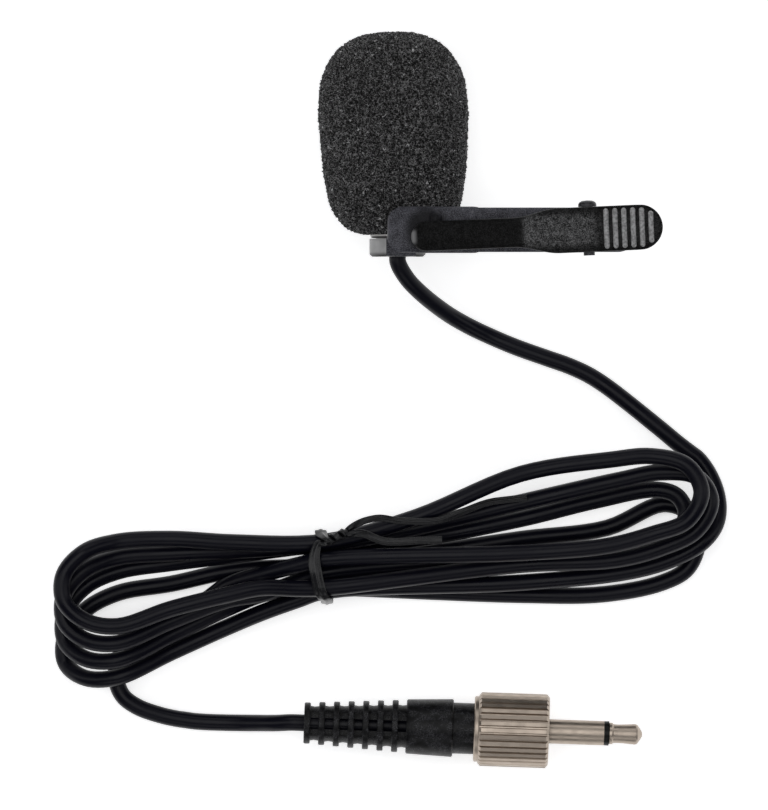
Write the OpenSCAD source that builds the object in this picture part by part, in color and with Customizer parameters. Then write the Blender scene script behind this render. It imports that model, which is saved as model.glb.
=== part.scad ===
// Lavalier microphone with a lapel clip, a tied hank of cable and a locking 3.5 mm plug.
// Everything lies on the table plane z = 0, face up: +X along the clip, +Y along the
// microphone, away from its cable, +Z up. Millimetres.

/* [Windscreen] */
// Largest radius of the foam windscreen
foam_r = 10.7; // [10.4:0.1:11.2]
// Height of the foam's top above the bottom of the clip ring
foam_top = 32; // [30:0.5:34]
// Height of the foam's widest place above the bottom of the clip ring
foam_mid = 19.5; // [18.5:0.5:20.5]
// Height of the foam's open end above the bottom of the clip ring
foam_low = 3.15; // [3.05:0.05:3.4]
// Angle by which the foam leans towards -X, in degrees
foam_lean = 1.5; // [0:0.1:2.4]
// Distance by which the foam sits towards -X of the head
foam_aside = 0.25; // [0:0.05:0.4]

/* [Microphone head] */
// Outer radius of the metal head
head_r = 3.9; // [3.7:0.05:4]
// Length of the head above its neck
head_len = 9.35; // [8.5:0.05:10]
// Outer radius of the neck that the clip grips
neck_r = 3.05; // [2.9:0.05:3.1]
// Height of the neck
neck_h = 2.65; // [2.4:0.05:2.9]
// Radius of the bore that holds the capsule
capsule_bore = 3.2; // [3:0.05:3.3]
// Radius of the seven sound holes
sound_hole = 0.35; // [0.25:0.05:0.45]

/* [Clip] */
// Distance of the jaw plate's back from the microphone's axis
plate_off = 9.6; // [9.6:0.05:10]
// Thickness of the jaw plate
plate_t = 1.65; // [1.4:0.05:1.8]
// Length of the jaw plate
plate_len = 35.6; // [34:0.2:36.4]
// Half the width of the jaw plate
plate_half = 3.3; // [3:0.1:3.5]
// Height of the clip's centre line above the bottom of its ring
clip_mid = 3.7; // [3.6:0.1:3.9]
// Distance of the lever's pin from the microphone's axis, along the clip
pin_x = 27; // [26:0.2:28]
// Height of the pin's axis above the microphone's axis
pin_z = 13; // [12.9:0.1:13.2]
// Radius of the pin
pin_r = 0.8; // [0.7:0.05:0.85]
// Angle at which the lever sits askew on its pin, in degrees
lever_skew = 2.4; // [0:0.2:2.6]
// Half the width of the lever's arm
arm_half = 2.1; // [1.9:0.1:2.3]
// Half the width of the lever's thumb pad
pad_half = 3.2; // [3.1:0.1:3.4]
// Turns of the torsion spring
spring_turns = 2.25; // [1.25:0.5:2.25]

/* [Cable] */
// Diameter of the cable
cord_d = 2.4; // [2.3:0.1:2.5]
// Height between one layer of the hank and the next
layer = 3.05; // [3.05:0.05:3.2]

/* [Plug] */
// Outer radius of the locking nut
nut_r = 5.28; // [5.2:0.02:5.4]
// Length of the locking nut
nut_len = 10.1; // [9.5:0.1:10.3]
// Number of grip teeth round the nut
nut_teeth = 34; // [24:1:44]
// Radius of the jack's sleeve
jack_r = 1.75; // [1.7:0.01:1.8]
// Number of rings on the strain relief
boot_rings = 7; // [5:1:7]
// Slant of the plug on the table, in degrees
plug_slant = -1.98; // [-3:0.02:0]

/* [Hidden] */

$fn = 48;
foam_color = [0.13, 0.13, 0.14];
metal_color = [0.72, 0.69, 0.65];
jaw_color = [0.17, 0.17, 0.19];
lever_color = [0.1, 0.1, 0.11];
cord_color = [0.07, 0.07, 0.09];
rubber_color = [0.11, 0.11, 0.13];

// The lever's round end is the clip's far end
pad_x = 34.3 - pin_x;
lever_reach = pin_x + pad_x * cos(lever_skew) + pad_half;
// The foam leans from the height where it clears the clip's plate
lean_y = clip_mid + plate_half;
foam_reach = foam_r + foam_aside + sin(foam_lean) * (foam_mid - lean_y);
// Place of the microphone's axis and of the clip ring's bottom in the part's frame
mic_x = -(lever_reach - foam_reach) / 2;
mic_y = -foam_top / 2;

// ---- frames of the three groups ----

// Microphone frame: y runs up the microphone from the ring's bottom, z up from its axis
module on_mic() translate([mic_x, mic_y, foam_r]) children();

// Turns a solid made along z so that it runs along y
module along_y() rotate([-90, 0, 0]) children();

// Lever frame: origin at the middle of the pin, askew with the lever
module on_pin() on_mic() translate([pin_x, clip_mid, pin_z]) rotate([0, 0, lever_skew]) children();

// Plug frame: z runs along the plug from the boot's cable end
plug_x = mic_x - 13.353;
plug_y = mic_y - 66.57;
module on_plug() translate([plug_x, plug_y, nut_r + 0.02]) rotate([0, 0, plug_slant])
    rotate([0, 90, 0]) children();

// A tube or a rod along z from z0 to z1
module tube_z(z0, z1, r, bore = 0) translate([0, 0, z0]) difference() {
    cylinder(h = z1 - z0, r = r);
    if (bore > 0)
        translate([0, 0, -1]) cylinder(h = z1 - z0 + 2, r = bore);
}

// ---- microphone head ----

head_top = neck_h + head_len;
// Upper half of the foam: a superellipse, flatter than a ball
foam_up = foam_top - foam_mid;
function foam_upper(a) = [foam_r * pow(cos(a), 2 / 2.65), foam_mid + foam_up * pow(sin(a), 2 / 2.65)];
// Lower half: nearly straight, drawn in by 9 percent and rounded at its open end
foam_down = foam_mid - foam_low;
function foam_lower(a) = let (t = pow(sin(a), 2 / 4.2))
    [foam_r * (1 - 0.09 * t) * pow(cos(a), 2 / 4.2), foam_mid - foam_down * t];
foam_bore = head_r + 0.05;
foam_bore_top = head_top + 1.6;

module windscreen() color(foam_color) on_mic() difference() {
    translate([-foam_aside, lean_y, 0]) rotate([0, 0, foam_lean]) translate([0, -lean_y, 0])
        along_y() rotate_extrude($fn = 96)
            polygon(concat([[0, foam_top]], [for (a = [84:-7:7]) foam_upper(a)], [[foam_r, foam_mid]],
                [for (a = [10:9:82]) foam_lower(a)], [[1, foam_low], [0, foam_low]]));
    along_y() tube_z(0, foam_bore_top, foam_bore, 0, $fn = 96);
}

bush_r = 1.6;
bore_floor = 4.2;
board_y = 5.2;
can_y = 5.8;
felt_y = head_top - 0.6;

module mic_housing() color(metal_color) on_mic() along_y() rotate_extrude($fn = 72)
    polygon([[bush_r, 0], [neck_r - 0.2, 0], [neck_r, 0.2], [neck_r, neck_h],
        [head_r - 0.25, neck_h], [head_r, neck_h + 0.25], [head_r, head_top],
        [capsule_bore, head_top], [capsule_bore, bore_floor], [bush_r, bore_floor]]);

module cable_bush() color(rubber_color) on_mic() along_y() tube_z(0, bore_floor, bush_r);

module circuit_board() color("darkgreen") on_mic() along_y() tube_z(board_y, can_y, capsule_bore);

can_r = 2.85;
module capsule_can() color("silver") on_mic() along_y() difference() {
    tube_z(can_y, felt_y, can_r);
    translate([0, 0, felt_y - 0.3]) cylinder(h = 1, r = 0.6);
}

module capsule_sleeve() color("dimgray") on_mic() along_y() tube_z(can_y, felt_y, capsule_bore, can_r);

felt_t = 0.4;
module front_felt() color("black") on_mic() along_y() tube_z(felt_y, felt_y + felt_t, capsule_bore);

// Pressed cap with a ring of six sound holes round one in the middle
cap_t = 0.9;
module grille_cap() color(metal_color) on_mic() along_y() difference() {
    rotate_extrude($fn = 72) polygon([[0, felt_y + felt_t], [capsule_bore, felt_y + felt_t],
        [capsule_bore, head_top], [head_r, head_top], [head_r, head_top + cap_t - 0.3],
        [head_r - 0.3, head_top + cap_t], [0, head_top + cap_t]]);
    translate([0, 0, felt_y]) cylinder(h = 3, r = sound_hole, $fn = 24);
    for (i = [0:5])
        rotate([0, 0, 60 * i]) translate([1.6, 0, felt_y]) cylinder(h = 3, r = sound_hole, $fn = 24);
}

module inner_wire(side) on_mic() along_y() translate([side * 0.7, 0, 0])
    tube_z(bore_floor, board_y, 0.3);
module signal_wire() color("firebrick") inner_wire(1);
module shield_wire() color("peru") inner_wire(-1);

// ---- clip ----

plate_x0 = -1.45;
plate_top = plate_off + plate_t;
ring_out = 4;
ring_bore = neck_r + 0.05;
ring_h = 2.55;
ring_gap = 4.6;
edge_r = 0.8;
ear_r = 1.6;
ear_in = 1.5;
ear_out = 2.15;
ear_bore = pin_r + 0.1;
grip_w = 1.9;
grip_rise = 0.7;
grip_half = 2.75;

// Rectangle with round corners, built from plain shapes so that it stays exact
module round_rect(x0, y0, x1, y1, r) {
    translate([x0 + r, y0]) square([x1 - x0 - 2 * r, y1 - y0]);
    translate([x0, y0 + r]) square([x1 - x0, y1 - y0 - 2 * r]);
    for (x = [x0 + r, x1 - r])
        for (y = [y0 + r, y1 - r])
            translate([x, y]) circle(r = r);
}

// Plate whose outline, side view and end view are each rounded
module jaw_plate() intersection() {
    translate([0, clip_mid, plate_off]) linear_extrude(plate_t) {
        round_rect(plate_x0, -plate_half, 13, plate_half, 2.3);
        round_rect(8, -plate_half + 0.15, plate_x0 + plate_len, plate_half - 0.15, 2.9);
    }
    translate([plate_x0 - 1, clip_mid, 0]) rotate([90, 0, 90]) linear_extrude(plate_len + 2)
        round_rect(-plate_half, plate_off - 2, plate_half, plate_top, edge_r);
    translate([0, clip_mid + 5, 0]) rotate([90, 0, 0]) linear_extrude(10)
        round_rect(plate_x0, plate_off - 2, plate_x0 + plate_len, plate_top, edge_r);
}

// Round-topped rib across the plate
module grip_rib(x) translate([x, clip_mid, plate_top + grip_rise - grip_w / 2]) {
    along_y() tube_z(grip_w / 2 - grip_half, grip_half - grip_w / 2, grip_w / 2);
    for (s = [-1, 1])
        translate([0, s * (grip_half - grip_w / 2), 0]) sphere(r = grip_w / 2);
}

// Upright lug that carries the pin
module pin_ear(y0) translate([pin_x, clip_mid + y0, 0]) {
    translate([0, 0, pin_z]) along_y() cylinder(h = ear_out - ear_in, r = ear_r);
    translate([-ear_r, 0, plate_top - 0.4]) cube([2 * ear_r, ear_out - ear_in, pin_z - plate_top + 0.4]);
}

// Open ring that snaps over the neck, and the post that joins it to the plate
module neck_ring() difference() {
    union() {
        along_y() rotate_extrude($fn = 72) polygon([[ring_bore, 0], [ring_out - 0.35, 0],
            [ring_out, 0.35], [ring_out, ring_h], [ring_bore, ring_h]]);
        translate([-1.6, 0, ring_bore]) cube([4.2, ring_h, plate_off + 0.3 - ring_bore]);
    }
    along_y() translate([0, 0, -1]) cylinder(h = ring_h + 2, r = ring_bore, $fn = 72);
    translate([-ring_gap / 2, -1, -ring_out - 1]) cube([ring_gap, ring_h + 2, ring_out]);
}

module rear_jaw() color(jaw_color) on_mic() difference() {
    union() {
        jaw_plate();
        neck_ring();
        grip_rib(5.4);
        grip_rib(10.35);
        pin_ear(ear_in);
        pin_ear(-ear_out);
    }
    translate([pin_x, clip_mid, pin_z]) along_y() tube_z(-6, 6, ear_bore);
}

pin_tail = -3.67;
pin_neck = pad_half + 0.05;
pin_head_r = 1.3;
pin_head_h = 0.9;

module pivot_pin() color("dimgray") on_pin() along_y() {
    tube_z(pin_tail, pin_neck, pin_r);
    translate([0, 0, pin_neck]) rotate_extrude() polygon([[0, 0], [pin_head_r, 0],
        [pin_head_r, 0.35], [1.15, 0.62], [0.8, 0.83], [0, pin_head_h]]);
}

// ---- swept tubes ----

function unit(v) = v / norm(v);
// Direction of a path at each of its points
function heading(p, i) = let (n = len(p) - 1)
    i == 0 ? unit(p[1] - p[0]) : i == n ? unit(p[n] - p[n - 1])
    : unit(unit(p[i] - p[i - 1]) + unit(p[i + 1] - p[i]));
// Ring of points square to a path; up is any direction that the path never takes
function sweep_ring(at, dir, up, r, sides) = let (u = unit(cross(up, dir)), w = cross(dir, u))
    [for (k = [0:sides - 1]) let (a = (k + 0.5 * ((sides / 2) % 2 == 0 ? 1 : 0)) * 360 / sides)
        at + r * (cos(a) * u + sin(a) * w)];
// Closed solid through a list of rings with the same number of points
module ring_skin(rings) {
    n = len(rings[0]);
    m = len(rings);
    polyhedron(points = [for (ring = rings) for (p = ring) p],
        faces = concat([[for (k = [0:n - 1]) k]], [[for (k = [n - 1:-1:0]) (m - 1) * n + k]],
            [for (i = [0:m - 2]) for (k = [0:n - 1]) [i * n + k, (i + 1) * n + k, i * n + (k + 1) % n]],
            [for (i = [0:m - 2]) for (k = [0:n - 1])
                [(i + 1) * n + k, (i + 1) * n + (k + 1) % n, i * n + (k + 1) % n]]),
        convexity = 8);
}
module swept_tube(path, r, sides, up = [0, 0, 1])
    ring_skin([for (i = [0:len(path) - 1]) sweep_ring(path[i], heading(path, i), up, r, sides)]);

// ---- torsion spring ----

spring_r = 1.1;
wire_d = 0.4;
spring_pitch = 0.88;
spring_steps = 8;
spring_leg = 3.6;
// The coil runs along the pin; each end leaves as a straight leg towards the thumb pad
function coil_point(a) = [spring_r * sin(a), spring_pitch * (a / 360 - spring_turns / 2), spring_r * cos(a)];
spring_coil = [for (k = [0:spring_turns * spring_steps]) coil_point(k * 360 / spring_steps)];
spring_path = concat(
    [[-spring_leg, spring_coil[0][1] - 0.05, spring_r + 0.1], [-0.6, spring_coil[0][1] - 0.02, spring_r]],
    spring_coil,
    [[spring_r + 0.02, spring_coil[len(spring_coil) - 1][1] + 0.03, -0.7],
        [spring_r + 0.9, spring_coil[len(spring_coil) - 1][1] + 0.04, -1.45],
        [spring_leg, spring_coil[len(spring_coil) - 1][1] + 0.05, -1.5]]);
echo(spring_gap = spring_pitch - wire_d);

module torsion_spring() color("gray") on_pin() swept_tube(spring_path, wire_d / 2, 6, [0.02, 1, 0.01]);

// ---- lever ----

// Top edge and lower edge of the lever from the side, as x and z from the microphone's axis
lever_tip = 1.9;
lever_top = [[lever_tip, 12.2], [2.5, 12.75], [4, 13.35], [8, 14], [17.8, 14.9], [27.2, 15.6],
    [29.5, 16], [34, 16.65], [37.86, 17.2]];
lever_low = [[lever_tip, 11.45], [4, 12.02], [5.2, 12.05], [8, 12.55], [17.8, 13.45], [27.2, 14.15],
    [34, 15.2], [37.86, 15.8]];
shell_t = 0.8;
flange_t = 0.72;
lever_edge = 0.6;
tip_len = 2.2;
flare_start = 16.4;
flare_end = 22.9;
// Half width: a round tip, a plain arm, a flare, and a thumb pad with a round end
function lever_half(x) = x < lever_tip + tip_len
    ? arm_half * sqrt(max(0.06, 1 - pow((lever_tip + tip_len - x) / tip_len, 2)))
    : x < flare_start ? arm_half
    : x < flare_end ? arm_half + (pad_half - arm_half)
        * (1 - cos(180 * (x - flare_start) / (flare_end - flare_start))) / 2
    : x < pad_mid ? pad_half : sqrt(max(0.04, pow(pad_half, 2) - pow(x - pad_mid, 2)));
// Cross-section with rounded upper edges
function lever_section(x, half, low, top, edge) = concat(
    [[x, -half, low], [x, half, low]],
    [for (a = [0:22.5:90]) [x, half - edge + edge * cos(a), top - edge + edge * sin(a)]],
    [for (a = [90:22.5:180]) [x, -half + edge + edge * cos(a), top - edge + edge * sin(a)]]);
pad_mid = pin_x + pad_x;
lever_stops = concat([for (d = [0, 0.15, 0.5, 1, 1.6, 2.2]) lever_tip + d], [5.2, 8, 12],
    [for (k = [0:5]) flare_start + (flare_end - flare_start) * k / 5], [27.2, 29.5, 32],
    [for (a = [0:15:90]) pad_mid + (pad_half - 0.02) * sin(a)]);
cavity_stops = concat([4.6, 8, 12], [for (k = [0:5]) flare_start + (flare_end - flare_start) * k / 5],
    [27.2, 29.5, 32], [for (a = [0:22.5:67.5]) pad_mid + (pad_half - flange_t) * sin(a)]);
thumb_ribs = 6;
rib_pitch = 1.26;
rib_start = 29.55;

module lever_shell() difference() {
    ring_skin([for (x = lever_stops) let (top = lookup(x, lever_top), half = lever_half(x))
        lever_section(x, half, lookup(x, lever_low), top, min(lever_edge, half * 0.8,
            (top - lookup(x, lever_low)) * 0.8))]);
    ring_skin([for (x = cavity_stops) let (half = max(0.5, lever_half(x) - flange_t))
        lever_section(x, half, lookup(x, lever_low) - 3, lookup(x, lever_top) - shell_t,
            min(0.4, half * 0.6))]);
}

// Round lobe on each side, hanging from the shell round the pin
module pin_lobe(y0) translate([0, y0, 0]) {
    along_y() cylinder(h = pad_half - ear_out - 0.3, r = 1.5);
    translate([-1.5, 0, 0]) cube([3, pad_half - ear_out - 0.3, 1.5]);
}

// Rounded rib across the thumb pad, shorter on the round end
module thumb_rib(i) {
    x = rib_start + rib_pitch * i;
    half = min(2.75, lever_half(x + 0.3) - 0.75);
    translate([x, 0, lookup(x, lever_top) - 0.08]) {
        along_y() tube_z(-half, half, 0.4, $fn = 24);
        for (s = [-1, 1])
            translate([0, s * half, 0]) sphere(r = 0.4, $fn = 24);
    }
}

module front_lever() color(lever_color) on_pin() difference() {
    union() {
        translate([-pin_x, 0, -pin_z]) lever_shell();
        pin_lobe(ear_out + 0.3);
        pin_lobe(-pad_half);
        translate([-pin_x, 0, -pin_z])
            for (i = [0:thumb_ribs - 1])
                thumb_rib(i);
    }
    along_y() tube_z(-6, 6, pin_r + 0.04);
}

// ---- cable ----

cord_r = cord_d / 2;
cord_z = cord_r + 0.02;
// The hank's waist, where the tie goes round it
hank_x = mic_x - 10.353;
hank_y = mic_y - 44.14;

// Free stretch from the microphone to the hank, from the ring's bottom down to the table:
// [along X from the microphone's axis, along Y from the ring's bottom, height]
lead_points = [[0, 0, foam_r], [0, -0.5, foam_r], [0.16, -1.1, 10.62], [0.58, -1.95, 10.35],
    [1.58, -3.4, 9.5], [3.1, -4.95, 8.1], [5.4, -6.85, 5.8], [7.85, -8.53, 3.6], [10.5, -10, 2.1],
    [13.2, -11.27, 1.4], [16.9, -12.83, 1.27], [21.6, -14.5, 1.27], [24.4, -15.48, 1.27],
    [27.2, -16.75, 1.27], [29.7, -18.31, 1.27], [32.9, -20.74, 1.27], [36, -23.23, 1.27],
    [38, -24.85, 1.27]];
lead_path = concat([for (p = lead_points) [mic_x, mic_y, 0] + p],
    [[hank_x + 50.2, hank_y + 17.75, cord_z], [hank_x + 52.2, hank_y + 16.2, cord_z]]);
module cord_lead() color(cord_color) swept_tube(lead_path, cord_r, 8);

// The hank is wound flat, each loop one layer above the last. A loop runs left through the waist,
// round its left bend, right through the waist again and round its right bend. All places are
// from the waist: [along X, along Y, height], one value per loop in each list.
loops = 4;
waist_lift = 0.6;
function level(i) = cord_z + layer * i;
// Runs to the left: at each station, the place and height of loops 0 to 4
run_left_x = [28, 0, -4, -9, -14, -22];
run_left_y = [[-2.4, -4.2, 1.2, 0.2, 1.9], [-3.6, -3.1, -0.9, -3.1, 1], [-4.9, -3.1, -2.3, -3.2, 0.1],
    [-6.7, -4.1, -4, -3.1, -1.2], [-8.8, -6.1, -4.9, -4.1, -2.8], [-12.4, -9.9, -7.9, -6.1]];
run_left_z = [[4.3, 1.27, 4.2, 7.1, 10], [4.2, 1.27, 4.3, 7.6, 8.1], [3.8, 1.3, 4.8, 8.1, 6.8],
    [3.1, 2, 5.9, 9.1, 5.4], [2.6, 3.7, 6.8, 9.9, 3.1], [3.1, 4.9, 7.3, 10.1]];
// Runs to the right
run_right_x = [-22, -13, 0, 13, 28];
run_right_y = [[-2.6, 0.4, 1.8, 3.9], [-0.7, 1.5, 2.2, 3.4], [0, 3.1, 3.1, 3.5], [1.6, 3.9, 5.5, 7],
    [3.8, 6.7, 9.1, 13.2]];
run_right_z = [[1.27, 3.9, 6.4, 9], [1.27, 3.2, 5.9, 8.4], [1.27, 1.27, 4.27, 7.6],
    [1.27, 2.5, 5.4, 8.4], [1.4, 4.4, 6.9, 9.6]];
// Lift of the bundle where the tie passes under it
function lift(x) = waist_lift * max(0, 1 - pow(abs(x + 2) / 14, 2));
function run_point(xs, ys, zs, s, i) = [xs[s], ys[s][i], zs[s][i] + lift(xs[s])];
// Left bends: parts of ellipses, skewed towards -Y, that rise as they turn back
left_reach = 37.6;
left_top = [-3.9, -0.8, 1.2, 3.5];
function left_bend(i) = let (low = -15.9 + 2.45 * i, top = left_top[i], a = 8, h = (top - low) / 2,
        skew = -2.2 + 0.55 * i, z = level(i), z_in = 4.7 + 1.9 * i, z_out = 1.4 + 2.4 * i)
    [for (k = [0:5]) let (q = -90 + 36 * k)
        [a - left_reach - a * cos(q), (low + top) / 2 + h * sin(q) + skew * cos(q),
            k == 0 ? z_in : k == 1 ? 0.6 * z_in + 0.4 * z : k == 5 ? z_out : z]];
// Right bends: one level each
right_reach = [53.4, 51.6, 55.1, 53.7];
right_top = [8.8, 10.9, 13.4, 15.7];
right_low = [-2.4, 3.6, 2.6, 4.6];
right_a = [5, 4.2, 7, 7];
right_skew = [0.6, 0.2, 1.3, 0.4];
right_in = [5.4, 9.3, 12.3, 15.2];
function right_bend(i) = let (a = right_a[i], top = right_top[i], low = right_low[i], reach = right_reach[i])
    concat([[reach - 13, right_in[i], level(i)]],
        [for (q = [90:-45:-90]) [reach - a + a * cos(q),
            (top + low) / 2 + (top - low) / 2 * sin(q) + right_skew[i] * cos(q), level(i)]],
        [[reach - 13.5, low - 1.7, level(i) - (i == 0 ? 0 : 0.1)]]);
function left_run(i) = [for (s = [0:i < loops ? 5 : 4]) run_point(run_left_x, run_left_y, run_left_z, s, i)];
function right_run(i) = [for (s = [0:4]) run_point(run_right_x, run_right_y, run_right_z, s, i)];
// First bend, outside the others, and the last run's way out under the left bends
hank_in = [[52.2, 16.2, 1.27], [53.4, 15.27, 1.27], [54.9, 13.2, 1.4], [56, 10.5, 1.8], [56.3, 8, 2.5],
    [55.8, 5.7, 3.4], [54, 3.4, 4.2], [50.5, 1.3, 4.3], [44, -0.7, 4.3]];
hank_out = [[-17.5, -5.2, 1.4], [-22, -7.6, 1.27], [-26.6, -9.8, 1.27], [-29.4, -13, 1.27],
    [-29.9, -16.2, 1.27], [-29, -18.6, 1.27], [-26.9, -20.2, 1.27], [-23.7, -21.37, 1.27],
    [-21.2, -21.93, 1.27], [-20, -22.1, 1.27]];
hank_points = concat(hank_in,
    [for (i = [0:loops - 1]) each concat(left_run(i), left_bend(i), right_run(i), right_bend(i))],
    left_run(loops), hank_out);
hank_path = [for (p = hank_points) p + [hank_x, hank_y, 0]];

// Least distance between two straight pieces of the path that are not neighbours
function near(p, q0, q1) = let (d = q1 - q0, t = max(0, min(1, (p - q0) * d / (d * d))))
    norm(q0 + t * d - p);
function mid_points(p) = [for (i = [0:len(p) - 2])
    each [p[i], (p[i] * 2 + p[i + 1]) / 3, (p[i] + p[i + 1] * 2) / 3]];
hank_fine = mid_points(hank_points);
hank_least = min([for (i = [0:len(hank_fine) - 1]) for (j = [0:len(hank_points) - 2])
    if (abs(floor(i / 3) - j) > 3) near(hank_fine[i], hank_points[j], hank_points[j + 1])]);
echo(hank_gap = hank_least - cord_d);
function path_length(p, i = 0) = i > len(p) - 2 ? 0 : norm(p[i + 1] - p[i]) + path_length(p, i + 1);
echo(hank_length = path_length(hank_points), hank_rings = len(hank_points));

module cord_hank() color(cord_color) swept_tube(hank_path, cord_r, 6);

// Free stretch from the hank up to the plug's height and into its boot
plug_dir = [cos(plug_slant), sin(plug_slant), 0];
tail_end = [plug_x, plug_y, nut_r + 0.02];
tail_points = [[-20, -22.1, 1.27], [-18.8, -22.27, 1.27], [-17, -22.4, 1.27], [-14.2, -22.49, 1.35],
    [-11.6, -22.52, 1.85], [-9.2, -22.51, 3.05], [-7, -22.48, 4.45]];
tail_path = concat([for (p = tail_points) [hank_x, hank_y, 0] + p],
    [tail_end - 1.8 * plug_dir, tail_end]);
module cord_tail() color(cord_color) swept_tube(tail_path, cord_r, 8);
echo(lead_length = path_length(lead_path), tail_length = path_length(tail_path));

// ---- twist tie ----

// One wire goes round the bundle, and its two ends are wound round each other into the knot
tie_w = 1.7;
tie_t = 0.4;
tie_off = 1.56;
// Turns of the band at the waist: across, the place and height of the strand that it bends round,
// and the direction from that strand to the band in degrees
tie_turns = [[-0.75, 3.3, 8.45, 88], [-1.3, 2.3, 8.5, 90], [-1.5, 0.8, 8.6, 90], [-1.3, -0.8, 8.65, 90],
    [-1, -2.2, 8.5, 93], [-0.6, -3.2, 8.35, 112], [-0.2, -3.2, 8.3, 145], [0.1, -3.2, 8.25, 175],
    [0.3, -3.75, 4.85, 180], [0.3, -3.15, 1.9, 205], [0.2, -3.15, 1.9, 240], [0.1, -3.1, 1.9, 268],
    [-0.1, 0, 1.9, 270], [-0.3, 3.15, 1.9, 272], [-0.4, 3.15, 1.9, 305], [-0.5, 3.2, 1.9, 340],
    [-0.6, 3.2, 4.87, 360], [-0.6, 3.5, 8.2, 365], [-0.5, 3.5, 8.2, 405]];
// Free ends, from the cut end of the long one to the knot, and from the knot to the short one's
tie_long = [[28.8, 9.8, 8.9], [26, 9.5, 8.9], [23.3, 9.1, 8.95], [19.7, 7.8, 9.2], [16.4, 6.6, 9.7],
    [13.6, 6.4, 10.05], [10.2, 6.55, 10.15], [7.9, 6.9, 10.6], [6, 6.6, 10.95], [4.7, 6.1, 10.8]];
tie_short = [[4.6, 4.75, 10.5], [6, 4.5, 10.2], [6.9, 4.1, 10.15], [8.3, 3.6, 10.2],
    [10.2, 3.5, 10.2], [13.8, 3.7, 10.15], [16.7, 3.7, 10.1]];
// Knot: its axis, how far each leg lies from it, and its turns
knot_start = [0.2, 3.6, 10.5];
knot_run = [3.1, 1.3, 0];
knot_off = 0.5;
knot_turns = 1.25;
knot_steps = 10;
// One ring of the wire: its middle, the direction across its thickness, its width and thickness
function knot_ring(k, side) = let (a = 225 + 360 * knot_turns * k / knot_steps)
    [knot_start + knot_run * k / knot_steps + side * knot_off * [0, cos(a), sin(a)],
        [0, -cos(a), -sin(a)], 0.85, 0.55];
tie_rings = concat([for (p = tie_long) [p, [0, 0, 1], 1, 0.45]],
    [for (k = [knot_steps:-1:0]) knot_ring(k, 1)],
    [for (i = [0:len(tie_turns) - 1]) let (q = tie_turns[i], out = [0, cos(q[3]), sin(q[3])])
        [[q[0], q[1], q[2]] + tie_off * out, out, i == 0 ? 1 : i == 1 ? 1.4 : tie_w, tie_t]],
    [for (k = [0:knot_steps]) knot_ring(k, -1)],
    [for (p = tie_short) [p, [0, 0, 1], 1.15, 0.45]]);
tie_path = [for (q = tie_rings) q[0]];

module twist_tie() color(rubber_color) translate([hank_x, hank_y, 0])
    ring_skin([for (i = [0:len(tie_rings) - 1])
        let (q = tie_rings[i], dir = heading(tie_path, i), u = unit(cross(q[1], dir)) * q[2] / 2,
            v = unit(cross(dir, cross(q[1], dir))) * q[3] / 2)
        [q[0] + u + v, q[0] - u + v, q[0] - u - v, q[0] + u - v]]);

// ---- plug ----

boot_pitch = 2.09;
ring_w = 0.9;
boot_sleeve = 14.6;
boot_end = 21.3;
boot_rod = 2.6;
// Ring radius and valley radius grow towards the plug
function boot_out(i) = 2.95 + 0.13 * i;
function boot_core(i) = 2.5 + 0.1 * i;

module strain_boot() color(rubber_color) on_plug() difference() {
    union() {
        for (i = [0:boot_rings - 1])
            rotate_extrude() polygon([[1, boot_pitch * i], [boot_out(i) - 0.12, boot_pitch * i],
                [boot_out(i), boot_pitch * i + 0.12], [boot_out(i), boot_pitch * i + ring_w - 0.12],
                [boot_out(i) - 0.12, boot_pitch * i + ring_w], [boot_core(i), boot_pitch * i + ring_w],
                [boot_core(i) - 0.1, boot_pitch * (i + 0.7)], [boot_core(i), boot_pitch * (i + 1) + 0.1],
                [1, boot_pitch * (i + 1) + 0.1]]);
        rotate_extrude() polygon([[1, boot_sleeve], [3.75, boot_sleeve], [3.9, boot_sleeve + 0.2],
            [4.15, boot_end - 0.15], [4, boot_end], [1, boot_end]]);
    }
    tube_z(-1, boot_end, cord_r);
    tube_z(16, boot_end + 1, boot_rod);
    for (i = [0:boot_rings - 1])
        for (side = [-1, 1])
            translate([side * 2.9, 0, boot_pitch * i + (boot_pitch + ring_w) / 2])
                cube([4, 3.3, boot_pitch - ring_w], center = true);
}

module cable_end() color(cord_color) on_plug() tube_z(0, 20.6, cord_r);

flange_s = 27.5;
shoulder = 30;
body_r = 3.65;
flange_r = 3.8;
shank_s = 25;
shank_r = 2.4;
cavity_s = 18;
cavity_r = 1.6;

module plug_body() color(rubber_color) on_plug() difference() {
    rotate_extrude($fn = 72) polygon([[1, 16], [boot_rod, 16], [boot_rod, boot_end], [body_r, boot_end],
        [body_r, flange_s], [flange_r, flange_s], [flange_r, shoulder], [1, shoulder]]);
    tube_z(15, cavity_s, cord_r);
    tube_z(cavity_s, shank_s, cavity_r);
    tube_z(shank_s, shoulder + 1, shank_r);
}

jack_end = 42.9;
tip_start = 43.6;
rod_r = 0.75;
insulator_r = 1.15;

module jack_sleeve() color(metal_color) on_plug() difference() {
    union() {
        tube_z(shank_s, shoulder, shank_r);
        tube_z(shoulder, jack_end, jack_r);
    }
    tube_z(shank_s - 1, jack_end + 1, insulator_r);
}

module jack_insulator() color("black") on_plug() {
    tube_z(shank_s - 0.4, jack_end, insulator_r, rod_r);
    tube_z(jack_end, tip_start, jack_r, rod_r);
}

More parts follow.
